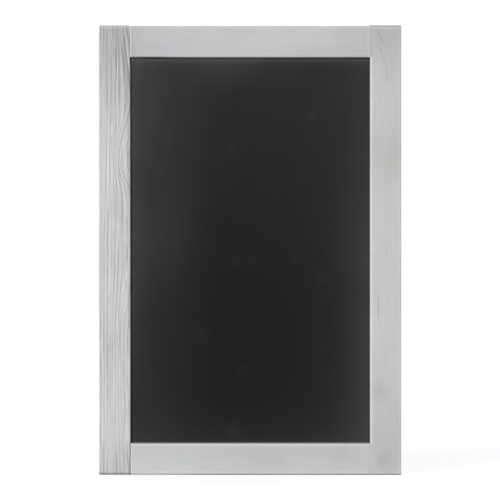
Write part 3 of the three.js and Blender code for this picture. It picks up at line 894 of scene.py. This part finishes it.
screwShape = {
    "length": 0.014, "tipLength": 0.003, "tipRadius": 0.00008,
    "tipShare": 0.08,  # of the core's radius, just behind the tip
    "threadRadius": 0.0015, "coreRadius": 0.00105, "pitch": 0.0012,
    "stepsPerTurn": 6,  # rings of the mesh in one turn of the thread
    "neckLength": 0.0008, "neckFlare": 0.0002, "headRadius": 0.0032, "headHeight": 0.0019,
    "headFlare": 0.00001, "crown": 0.0008,
    "crownArc": 80,  # degrees
    "crownSteps": 6,
    "recessReach": 0.0019,  # from the middle to the end of a wing
    "recessWidth": 0.0007, "recessDepth": 0.0012, "sides": 24,
}

members = {"left_stile": leftStile, "right_stile": rightStile, "top_rail": topRail, "bottom_rail": bottomRail}
for node, member in members.items():
    side, kind = node.split("_")
    name = side + kind.title() + "Wood"
    along = 2 if kind == "stile" else 0
    wood = blockOut(name, node, along, member["arrises"])
    fineMesh(wood, along)
    screws = nodesNamed("_screw", side) if along == 2 else []
    boreMember(wood, nodesNamed("_dowel", side), nodesNamed("_point_", side), screws)
    if node in ("left_stile", "top_rail"):
        shiftTopJoint(wood)
    growGrain(wood, along, member)
    smoothShade(wood)
    addPiece(wood, makePine(name, member["look"]), "board", node)
    print(name, len(wood.data.polygons), "faces")


# The writing sheet: a matt chalk coating with a film of wiped chalk, thicker towards the frame, with painted
# light lifting the frame's shadow along the top and left and painted shade in the rim next to the frame

chalkLook = {
    "coating": (0.0100, 0.0100, 0.0100, 1),
    "chalk": (0.36, 0.36, 0.365, 1),
    "roughness": 0.82,
    "unwiped": 0.0025,  # a cloth doesn't reach into the corner along the frame, and the darker rim left there is also painted shade for the recess
    "ledgeDust": 0.003,  # chalk that has fallen onto the bottom rail
    # Chalk left along the sides, as films and finer lines; the top and left lines are also painted light that
    # lifts the shadow the frame casts on the sheet: (amount, reach in metres)
    "leftFilm": (0.064, 0.016), "leftLine": (0.070, 0.0025), "rightFilm": (0.070, 0.040),
    "topFilm": (0.024, 0.080), "topLine": (0.262, 0.0040), "bottomFilm": (0.034, 0.030),
    # Faint smudges, and the smallest are specks of chalk: (x, z, size) in mm, amount in thousandths
    "smudges": [
        (-78, 318, 70, 18), (-30, 322, 68, 36), (-165, 15, 120, 19), (3, 246, 18, 6), (45, 314, 62, 12),
        (104, 227, 17, 13), (85, 124, 19, 11), (-30, 171, 17, 9), (-55, 152, 19, 9), (-22, 62, 18, 5),
        (-24, -22, 16, 8), (2, -18, 16, 8), (77, -17, 13, 7), (120, -46, 21, 10), (-81, -144, 22, 9),
        (-14, -203, 19, 10), (-30, -304, 20, 18), (-155, 257, 1.6, 160), (142.5, 94, 1.6, 50),
        (142.5, -28, 1.6, 50),
    ],
}


def makeChalkCoating():
    material, tree = startMaterial("chalkCoating")
    place = objectPlace(tree)
    x, _, z = split(place)
    fromLeft, fromRight = x - leftEdge, rightEdge - x
    fromTop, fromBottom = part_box("top_rail")[0].z - z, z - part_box("bottom_rail")[1].z

    def fading(distance, name):
        amount, reach = chalkLook[name]
        return calc("EXPONENT", distance / -reach) * amount

    # Heights and widths in metres from the board's middle
    leftRim = ramp(z, -0.30, -0.08, 0.2, 1) * ramp(z, 0.10, 0.25, 1, 0.85)
    # Where painted light lifts the left lip's shadow: the upper left, fading in away from the top corner
    upperLeftShadowLift = ramp(z, 0.12, 0.22) * ramp(fromTop, 0, 0.020)
    chalkAndPaintedLight = (
        ramp(fromLeft, 0, 0.165, 0.052, 0) * ramp(z, -0.20, 0.26, 0.62, 1)
        + fading(fromLeft, "leftFilm") * leftRim
        # painted light lifting the left lip's shadow in the upper part, with a little chalk
        + fading(fromLeft, "leftLine") * upperLeftShadowLift
        + fading(fromRight, "rightFilm") * ramp(z, -0.05, 0.34, 1.47, 0.52)
        + fading(fromTop, "topFilm")
        # chalk along the top, and painted light lifting the top rail's shadow
        + fading(fromTop, "topLine") * ramp(x, -0.02, 0.03, 1.04, 0.90)
        + fading(fromBottom, "bottomFilm")
        + ramp(z, -0.14, 0.24, 0, 0.018)
    )
    flat = vectorCalc("MULTIPLY", place, (1, 0, 1))
    for smudge in chalkLook["smudges"]:
        smudgeX, smudgeZ, size, amount = (value / 1000 for value in smudge)
        distance = vectorCalc("DISTANCE", flat, (smudgeX, 0, smudgeZ), output="Value")
        chalkAndPaintedLight = chalkAndPaintedLight + ramp(distance, 0, size, amount, 0)
    wiped = softPatches(place, patchSize=0.05, stretch=1.8).value
    fine = thinDust(place, amount=1, patchSize=0.004).dust
    nearest = calc("MINIMUM", calc("MINIMUM", fromLeft, fromRight), fromBottom)
    # Painted shade, partly thinner chalk: less haze, so a darker rim, next to the left, right and bottom
    # sides of the frame
    chalkAndPaintedLight = chalkAndPaintedLight * (wiped * 0.14 + 1) * ramp(nearest, 0, chalkLook["unwiped"], 0.6, 1)
    chalkAndPaintedLight = (chalkAndPaintedLight + ramp(fromBottom, 0, chalkLook["ledgeDust"], 0.4, 0)) * (fine * 0.12 + 0.94)
    return finishMaterial(material, {
        "Base Color": mixColour(chalkAndPaintedLight, chalkLook["coating"], chalkLook["chalk"]),
        "Roughness": fine * 0.08 + chalkLook["roughness"],
        "Normal": bump(noiseValue(place, 2600, 2, 0.6), 0.5, 0.00005),
        "Specular IOR Level": 0.10,
    })


dress(makeChalkCoating(), "writing_sheet")
print("writing sheet coated")


# The core and the back panel behind it, and the beech dowels in the joints

boardLook = {
    "core": (0.40, 0.27, 0.14, 1),
    "coreDark": (0.22, 0.13, 0.06, 1),
    "hardboard": (0.175, 0.085, 0.040, 1),
    "hardboardPale": (0.26, 0.14, 0.07, 1),
    "dust": (0.34, 0.26, 0.19, 1),
    "speck": (0.07, 0.035, 0.02, 1),
    "screenPitch": 0.0014,  # the wire screen's print on the hardboard
    "beech": (0.56, 0.37, 0.20, 1),
    "beechFleck": (0.34, 0.19, 0.09, 1),
}


def makeCoreBoard():
    material, tree = startMaterial("fibreboardCore")
    place = objectPlace(tree)
    mottle = softPatches(place, patchSize=0.006, stretch=1).value
    fibre = fineFibres(place, width=0.0004, length=0.0016).fibre
    amount = ramp(mottle + fibre, -1.5, 1.5)
    return finishMaterial(material, {
        "Base Color": mixColour(amount, boardLook["coreDark"], boardLook["core"]),
        "Roughness": 0.92,
        "Normal": bump(fibre, 0.5, 0.0001),
    })


def makeHardboard():
    material, tree = startMaterial("hardboardBack")
    place = objectPlace(tree)
    x, _, z = split(place)
    turn = 2 * pi / boardLook["screenPitch"]
    patches = softPatches(place, patchSize=0.004, stretch=1).value
    weave = calc("SINE", x * turn) * calc("SINE", z * turn) * ramp(patches, -0.6, 0.8, 0.2, 1)
    mottle = softPatches(place, patchSize=0.03, stretch=1.4).value
    fibre = fineFibres(place, width=0.0005, length=0.003).fibre
    dirt = thinDust(place, amount=0.15, patchSize=0.012)
    amount = mottle * 0.22 + fibre * 0.22 + weave * 0.07 + 0.35
    colour = mixColour(amount, boardLook["hardboard"], boardLook["hardboardPale"])
    colour = mixColour(dirt.dust, colour, boardLook["dust"])
    return finishMaterial(material, {
        "Base Color": mixColour(dirt.speck * 0.5, colour, boardLook["speck"]),
        "Roughness": fibre * 0.07 + 0.68,
        "Normal": bump(fibre * 0.4 + weave, 0.45, 0.00012),
    })


def makeBeech():
    material, tree = startMaterial("beechDowels")
    x, y, z = split(objectPlace(tree))
    place = vectorOf(y, z, x)  # the dowels' grain runs along X
    fibres = fineFibres(place, width=0.0004, length=0.008)
    mottle = softPatches(place, patchSize=0.006, stretch=4).value
    fleck = fibres.dash * 0.7 + fibres.fibre * 0.15 + mottle * 0.1
    return finishMaterial(material, {
        "Base Color": mixColour(fleck, boardLook["beech"], boardLook["beechFleck"]),
        "Roughness": 0.66,
        "Normal": bump(fibres.fibre, 0.5, 0.00008),
    })


dress(makeCoreBoard(), "core_board")
dress(makeHardboard(), "back_panel")
dress(makeBeech(), *nodesNamed("_dowel", "left", "right"))
print("panels and dowels finished")


# Zinc plated steel for the hangers, the screws and the framer's points

zincLook = {
    "bright": (0.50, 0.51, 0.53, 1),
    "dull": (0.30, 0.31, 0.33, 1),
    "straw": (0.50, 0.46, 0.37, 1),  # the faint yellow of the passivation
    "roughness": 0.30,
}


def makeZinc(name, scratchAxis, dullness):
    material, tree = startMaterial(name)
    parts = dict(zip("XYZ", split(objectPlace(tree))))
    along = parts.pop(scratchAxis)
    place = vectorOf(*parts.values(), along)
    cloud = softPatches(place, patchSize=0.0035, stretch=1.3).value
    scratch = fineFibres(place, width=0.00012, length=0.005)
    dust = thinDust(place, amount=dullness, patchSize=0.004).dust
    dull = calc("ADD", cloud * 0.25 + scratch.dash * 0.5 + 0.3, dust, clamp=True)
    colour = mixColour(dull, zincLook["bright"], zincLook["dull"])
    return finishMaterial(material, {
        "Base Color": mixColour(ramp(cloud, 0.1, 0.9, 0, 0.35), colour, zincLook["straw"]),
        "Roughness": dull * 0.22 + zincLook["roughness"],
        "Normal": bump(scratch.fibre * 0.3 - scratch.dash, 0.35, 0.00003),
        "Metallic": 1,
    })


# Strap hangers and their D-rings. The strip lies on the stile, wraps over the ring's bar and comes
# back down.

strapShape = {
    "width": 0.012, "thickness": 0.001, "seam": 0.0002,
    "length": 0.038,  # from the hinge to the end
    "barRoom": 0.0003,
    "wrap": 225,  # degrees round the bar
    "wrapSteps": 25, "bendRadius": 0.0012, "bendSteps": 6, "endRadius": 0.004, "endSteps": 8,
    "shearedEdge": 0.00016, "holeDrops": (0.019, 0.031), "holeRadius": 0.0018, "punchLength": 0.01,
}
ringShape = {
    "wireRadius": 0.00125,
    "width": 0.0175,  # between the middles of the legs
    "legHeight": 0.004, "cornerRadius": 0.002, "cornerSteps": 8, "archSteps": 36,
    "lean": 4.95,  # degrees, so that it rests against the stile
    "sides": 20,
}


def makeStrap(name, hinge):
    s = SimpleNamespace(**strapShape)
    radius = ringShape["wireRadius"] + s.barRoom + s.thickness / 2
    bpy.ops.mesh.primitive_plane_add(size=1, location=hinge + Vector((0, -radius, -s.length)))
    bpy.context.active_object.scale = (s.width, s.thickness, 1)
    strap = takeNew(name)
    editMode(True)
    selectAll()
    extrudeBy(0, 0, s.length)
    spinBy(hinge, (1, 0, 0), -s.wrap, s.wrapSteps)
    wrap, close = radians(s.wrap), radians(s.wrap - 180)
    y, z = -radius * cos(wrap), radius * sin(wrap)
    fold = s.bendRadius
    upperY = s.thickness + s.seam - radius
    run = (y - upperY) / sin(close) - fold * tan(close / 2)
    extrudeBy(0, -run * sin(close), -run * cos(close))
    y, z = y - run * sin(close), z - run * cos(close)
    bend = hinge + Vector((0, y + fold * cos(close), z - fold * sin(close)))
    spinBy(bend, (1, 0, 0), s.wrap - 180, s.bendSteps)
    lowest = hinge.z - s.length
    extrudeBy(0, 0, lowest - bend.z)

    def isEndCorner(edge):
        place = edge.verts[0].co - hinge
        isThrough = edgeRun(edge, 1) > 0.5 * s.thickness
        return isThrough and isAt(place.z, -s.length) and isAt(abs(place.x), s.width / 2)

    pick(strap, "edges", isEndCorner)
    bpy.ops.mesh.bevel(offset=s.endRadius, segments=s.endSteps, affect="EDGES")
    weld()
    editMode(False)
    for drop in s.holeDrops:
        middle = hinge - Vector((0, 0, drop))
        cutAway(strap, addCylinder("holePunch", middle, 1, s.holeRadius, s.punchLength))
    softenEdges(strap, s.shearedEdge)
    smoothShade(strap)
    return strap


def makeRing(name, hinge):
    s = SimpleNamespace(**ringShape)
    corner = s.cornerRadius
    straight = s.width / 2 - corner
    bpy.ops.mesh.primitive_circle_add(
        vertices=s.sides, radius=s.wireRadius, location=hinge, rotation=(0, radians(90), 0)
    )
    ring = takeNew(name)
    editMode(True)
    selectAll()
    extrudeBy(straight, 0, 0)
    spinBy(hinge + Vector((straight, 0, corner)), (0, 1, 0), -90, s.cornerSteps)
    extrudeBy(0, 0, s.legHeight - corner)
    spinBy(hinge + Vector((0, 0, s.legHeight)), (0, 1, 0), -180, s.archSteps)
    extrudeBy(0, 0, corner - s.legHeight)
    spinBy(hinge + Vector((-straight, 0, corner)), (0, 1, 0), -90, s.cornerSteps)
    extrudeBy(straight, 0, 0)
    weld()
    bpy.ops.transform.rotate(value=-radians(s.lean), orient_axis="X", center_override=hinge)
    editMode(False)
    smoothShade(ring)
    return ring


def makeScrew(name):
    # Drawn from its point, at the origin, outwards along +Y
    s, foot = SimpleNamespace(**screwShape), Vector()
    step = s.pitch / s.stepsPerTurn
    threadEnd = s.length - s.neckLength
    stations = [(0, s.tipRadius)]
    for i in range(1, int(threadEnd / step) + 1):
        taper = s.tipShare + (1 - s.tipShare) * i * step / s.tipLength
        stations.append((i * step, s.coreRadius * min(1, taper)))
    stations += [(threadEnd + s.neckFlare, s.threadRadius), (s.length, s.threadRadius)]
    stations += [(s.length + s.headFlare, s.headRadius)]
    rim = s.length + s.headHeight - s.crown
    stations += domed(rim, s.crown, s.headRadius, 0, s.crownArc, s.crownSteps)
    screw = turned(name, foot, stations, s.sides)

    def onThread(vertex):
        x, y, z = vertex.co
        turnShare = atan2(z, x) / (2 * pi)
        isRing = 2 * step < y < threadEnd - s.neckFlare / 2
        return isRing and (y / s.pitch - turnShare) % 1 < 1 / s.stepsPerTurn

    editMode(True)
    pick(screw, "verts", onThread)
    swell = s.threadRadius / s.coreRadius
    scaleAbout(foot, swell, swell)
    editMode(False)

    # The cross recess: four wings drawn out of a small block, narrower at the bottom
    half = s.recessWidth / 2
    top = Vector((0, s.length + s.headHeight, 0))
    cutter = addBlock(
        "crossPunch", top - Vector((half, s.recessDepth, half)), top + Vector((half, half, half))
    )
    editMode(True)
    for wing in (Vector((1, 0, 0)), Vector((-1, 0, 0)), Vector((0, 0, 1)), Vector((0, 0, -1))):
        pick(
            cutter,
            "faces",
            lambda f: f.normal.dot(wing) > 0.9 and isAt(f.calc_center_median().cross(wing).y, 0),
        )
        extrudeBy(*(wing * (s.recessReach - half)))
    pick(cutter, "faces", lambda f: f.normal.y < -0.9)
    scaleAbout(top, 0.5, 0.5)
    editMode(False)
    cutAway(screw, cutter)
    smoothShade(screw, 40)
    return screw


bumperShape = {
    "radius": 0.0055, "faceRadius": 0.00325, "rimHeight": 0.002,
    "rimEase": 0.0004,  # below the rim, where the side starts to round over
    "height": 0.0059,
    "skirt": 0.00025,  # the moulded edge at the foot
    "faceStep": 0.00005,  # round the face
    "inset": 0.0008,  # between the rings of the flat faces
    "sides": 40, "steps": 8,
}
rubberLook = {
    "rubber": (0.028, 0.028, 0.029, 1),
    "dust": (0.20, 0.19, 0.18, 1),
    "roughness": 0.66,
}


def makeBumper(name, foot):
    s = SimpleNamespace(**bumperShape)
    stations = [(0, s.radius - s.skirt), (s.skirt, s.radius), (s.rimHeight - s.rimEase, s.radius)]
    stations += domed(s.rimHeight, s.height - s.rimHeight, s.radius, s.faceRadius, 90, s.steps)
    stations[-1] = (s.height, s.faceRadius - s.faceStep)
    bumper = turned(name, foot, stations, s.sides)
    editMode(True)
    pick(bumper, "faces", lambda f: abs(f.normal.y) > 0.9 and len(f.verts) > 4)
    for _ in range(2):
        bpy.ops.mesh.inset(thickness=s.inset)
    editMode(False)
    smoothShade(bumper)
    return bumper


def makeRubber():
    material, tree = startMaterial("bumperRubber")
    place = objectPlace(tree)
    dust = thinDust(place, amount=0.22, patchSize=0.004).dust
    grain = softPatches(place, patchSize=0.0006, stretch=1).value
    return finishMaterial(material, {
        "Base Color": mixColour(dust, rubberLook["rubber"], rubberLook["dust"]),
        "Roughness": dust * 0.6 + rubberLook["roughness"],
        "Normal": bump(grain, 0.4, 0.00005),
    })


# Framer's points: flat, with a tip that is driven into the rebate's wall and a free end lifted a little

pointShape = {
    "length": 0.015, "width": 0.006, "thickness": 0.0005, "tipLength": 0.003,
    "tipShare": 0.03,  # of the width, left at the tip
    "cornerRadius": 0.001, "cornerSteps": 6, "liftLength": 0.003, "lift": 0.0005, "bendLength": 0.0008,
    "ribMiddle": 0.0025, "ribLength": 0.004, "ribWidth": 0.0014, "ribHeight": 0.00018,
    "shearedEdge": 0.00006,
}


def makePoint(name):
    # Lies along X with its middle at the origin and its tip towards -X
    s = SimpleNamespace(**pointShape)
    half = Vector((s.length, s.thickness, s.width)) / 2
    point = addBlock(name, Vector((-half.x + s.tipLength, -half.y, -half.z)), half)
    editMode(True)
    pick(point, "faces", lambda f: f.normal.x < -0.9)
    extrudeBy(-s.tipLength, 0, 0)
    scaleAbout((0, 0, 0), 1, s.tipShare)
    pick(point, "edges", lambda e: edgeRun(e, 1) > 0 and isAt(e.verts[0].co.x, half.x))
    bpy.ops.mesh.bevel(offset=s.cornerRadius, segments=s.cornerSteps, affect="EDGES")
    liftStart = half.x - s.liftLength
    ribStart, ribEnd = s.ribMiddle - s.ribLength / 2, s.ribMiddle + s.ribLength / 2
    for x in (liftStart, liftStart + s.bendLength, ribStart, ribEnd):
        bisectAt(0, x)
    for z in (-s.ribWidth / 2, s.ribWidth / 2):
        bisectAt(2, z)

    def isRib(face):
        x, _, z = face.calc_center_median()
        return face.normal.y > 0.9 and ribStart < x < ribEnd and abs(z) < s.ribWidth / 2

    pick(point, "faces", isRib)
    extrudeBy(0, s.ribHeight, 0)
    scaleAbout((s.ribMiddle, 0, 0), 0.8, 0.5)
    pick(point, "verts", lambda v: v.co.x > liftStart + s.bendLength / 2)
    bpy.ops.transform.translate(value=(0, s.lift, 0))
    editMode(False)
    softenEdges(point, s.shearedEdge, 40)
    smoothShade(point, 30)
    return point


strapZinc = makeZinc("strapZinc", "Z", 0.2)
ringZinc = makeZinc("ringZinc", "X", 0.12)
screwZinc = makeZinc("screwZinc", "Y", 0.2)
pointSteel = makeZinc("pointSteel", "X", 0.45)

hinges = {joint["child"]: Vector(joint["pos_m"]) for joint in frame["joints"]}
leftHinge, rightHinge = hinges["left_ring"], hinges["right_ring"]
bumperFoot = frontMiddle("left_bumper")
for piece, kind, node, material, slot in (
    (makeStrap("leftStrap", leftHinge), "Strap", "_hanger_strap", strapZinc, "zinc_steel"),
    (makeRing("leftDRing", leftHinge), "DRing", "_d_ring", ringZinc, "zinc_steel"),
    (makeBumper("leftBumper", bumperFoot), "Bumper", "_bumper", makeRubber(), "bumper_rubber"),
):
    other = copyPiece(piece, "right" + kind, rightHinge - leftHinge)
    for side, obj in (("left", piece), ("right", other)):
        addPiece(obj, material, side + "_ring" if kind == "DRing" else "board", side + node)
print("hangers and bumpers made")

screwModel = makeScrew("screwModel")
for node in nodesNamed("_screw", "left", "right"):
    side, place, _ = node.split("_")
    screw = copyPiece(screwModel, f"{side}{place.title()}Screw", frontMiddle(node))
    addPiece(screw, screwZinc, "board", node)
bpy.data.objects.remove(screwModel)

pointModel = makePoint("pointModel")
turns = {"left": 0, "top": 90, "right": 180, "bottom": -90}
for node in nodesNamed("_point_", *turns):
    low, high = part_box(node)
    side, _, number = node.split("_")
    point = copyPiece(pointModel, f"{side}Point{number}", (low + high) / 2, radians(turns[side]))
    addPiece(point, pointSteel, "board", node)
bpy.data.objects.remove(pointModel)
print("screws and points made")


# Floor, background and light

studio = {
    "floor": (0.25, 0.25, 0.25, 1),
    "floorSize": 30,
    "floorLift": 0.81,  # added only where the camera or a reflection sees the floor
    "white": (1, 1, 1, 1),
    "ambient": 0.34,
    "backdrop": 1.0,
}
lamps = [
    # name, direction that it shines from, strength, angular size in degrees
    ("keyLamp", (-0.48, -0.76, 0.44), 2.65, 30),
    ("fillLamp", (0.66, -0.74, 0.12), 0.22, 40),
    ("backKeyLamp", (0.59, 0.68, 0.44), 1.9, 26),
    ("backFillLamp", (-0.66, 0.74, 0.12), 0.30, 40),
]


def seenDirectly(tree):
    # 1 for rays from the camera, also by a reflection or through something clear
    seen = addNode("LightPath", {}, "Is Camera Ray", tree)
    for kind in ("Is Glossy Ray", "Is Transmission Ray"):
        seen = calc("MAXIMUM", seen, addNode("LightPath", {}, kind, tree))
    return seen


def addFloor():
    bpy.ops.mesh.primitive_plane_add(size=studio["floorSize"], location=(0, 0, cadLow.z))
    floor = takeNew("floor")
    material, tree = startMaterial("paleFloor")
    floor.data.materials.append(finishMaterial(material, {
        "Base Color": studio["floor"],
        "Roughness": 0.9,
        "Specular IOR Level": 0,
        "Emission Color": studio["white"],
        "Emission Strength": seenDirectly(tree) * studio["floorLift"],
    }))


def addWorld():
    world = bpy.data.worlds.new("studio")
    world.use_nodes = True
    tree = world.node_tree
    strength = ramp(seenDirectly(tree), 0, 1, studio["ambient"], studio["backdrop"], False)
    feed(tree.nodes["Background"], {"Color": studio["white"], "Strength": strength})
    bpy.context.scene.world = world


def addLamps():
    for name, shineFrom, strength, angle in lamps:
        data = bpy.data.lights.new(name, "SUN")
        data.energy = strength
        data.angle = radians(angle)
        lamp = bpy.data.objects.new(name, data)
        lamp.location = Vector(shineFrom) * 3
        lamp.rotation_euler = (-Vector(shineFrom)).to_track_quat("-Z", "Y").to_euler()
        bpy.context.scene.collection.objects.link(lamp)


addFloor()
addWorld()
addLamps()
print("studio ready")
